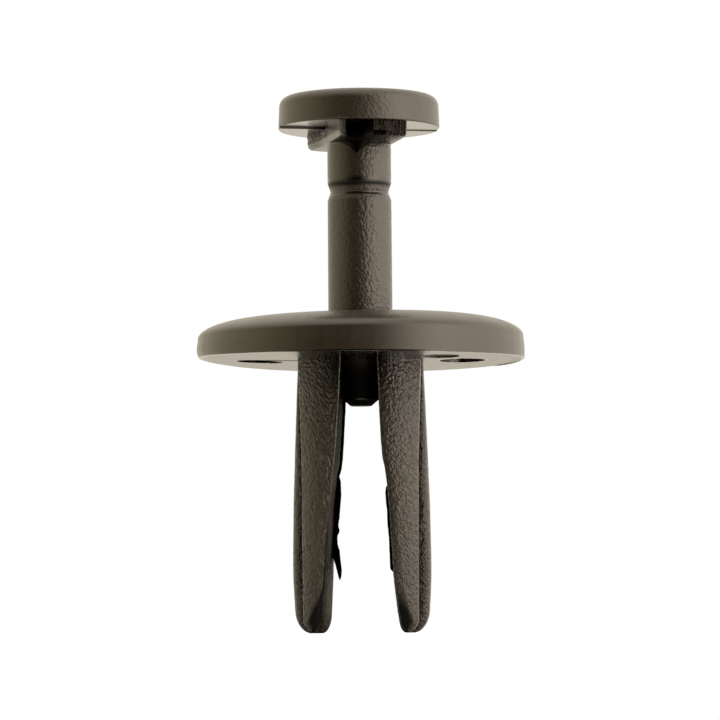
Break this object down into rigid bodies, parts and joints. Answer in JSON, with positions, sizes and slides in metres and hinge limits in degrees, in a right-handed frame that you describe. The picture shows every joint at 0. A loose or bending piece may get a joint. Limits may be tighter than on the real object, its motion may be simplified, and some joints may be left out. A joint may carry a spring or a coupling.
{
  "type": "plastic push rivet",
  "caption": "Push-in rivet: round flange on a split, ribbed shank, with a round-headed pin, shown raised, that slides home and spreads the legs.",
  "frame": {"origin": "centre of the flange's underside, the face that seats on the panel, on the pin's axis", "axes": "+Z along the pin's axis from the leg tips to the head; +X from the left leg to the right leg; the slot between the legs runs along Y, with -Y towards the viewer of the picture"},
  "size_m": [0.02, 0.02, 0.0327],
  "materials": {
    "nylon": "dark olive-grey moulded nylon with a fine pebbled grain"
  },
  "bodies": {
    "grommet": {"grommet_flange": "nylon"},
    "leg_left": {"grommet_leg_left": "nylon"},
    "leg_right": {"grommet_leg_right": "nylon"},
    "pin": {"drive_pin": "nylon"}
  },
  "joints": [
    {"name": "pin_slide", "type": "slide", "parent": "grommet", "child": "pin", "axis": [0, 0, -1], "range_m": [0, 0.0106]},
    {"name": "leg_left_spread", "type": "hinge", "parent": "grommet", "child": "leg_left", "pos_m": [-0.0037, 0, 0], "axis": [0, 1, 0], "range_deg": [0, 3.45]},
    {"name": "leg_right_spread", "type": "hinge", "parent": "grommet", "child": "leg_right", "pos_m": [0.0037, 0, 0], "axis": [0, -1, 0], "range_deg": [0, 3.45]}
  ],
  "couplings": [
    {"joint": "leg_left_spread", "follows": "pin_slide", "rad_per_m": 5.5},
    {"joint": "leg_right_spread", "follows": "pin_slide", "rad_per_m": 5.5}
  ]
}
